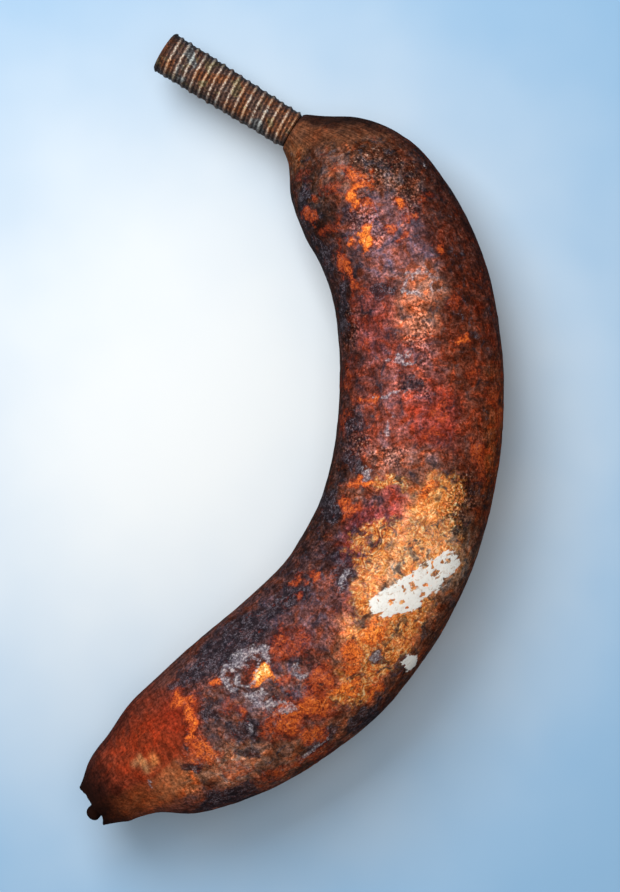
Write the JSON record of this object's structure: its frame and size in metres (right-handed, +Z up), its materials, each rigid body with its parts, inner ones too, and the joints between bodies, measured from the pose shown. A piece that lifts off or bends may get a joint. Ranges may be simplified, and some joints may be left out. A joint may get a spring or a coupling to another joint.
{
  "type": "rusted iron banana with a threaded stem",
  "caption": "Solid rusted iron casting of a banana lying on its side, with a coarse threaded rod standing in for its stem.",
  "frame": {"origin": "on the surface that the banana lies on, under the middle of its bounding box", "axes": "+Z up from that surface, +Y from the blossom end to the stem end, +X to the outside of the bend"},
  "size_m": [0.0978, 0.1824, 0.0399],
  "materials": {
    "rusted_cast_iron": "dull pitted rust, purple-brown with orange and blue-black scale and a worn white swipe of paint",
    "rusted_threaded_rod": "dark rusted steel with rounded, worn thread crests"
  },
  "bodies": {
    "root": {"body": "rusted_cast_iron", "threaded_stem": "rusted_threaded_rod"}
  },
  "joints": []
}
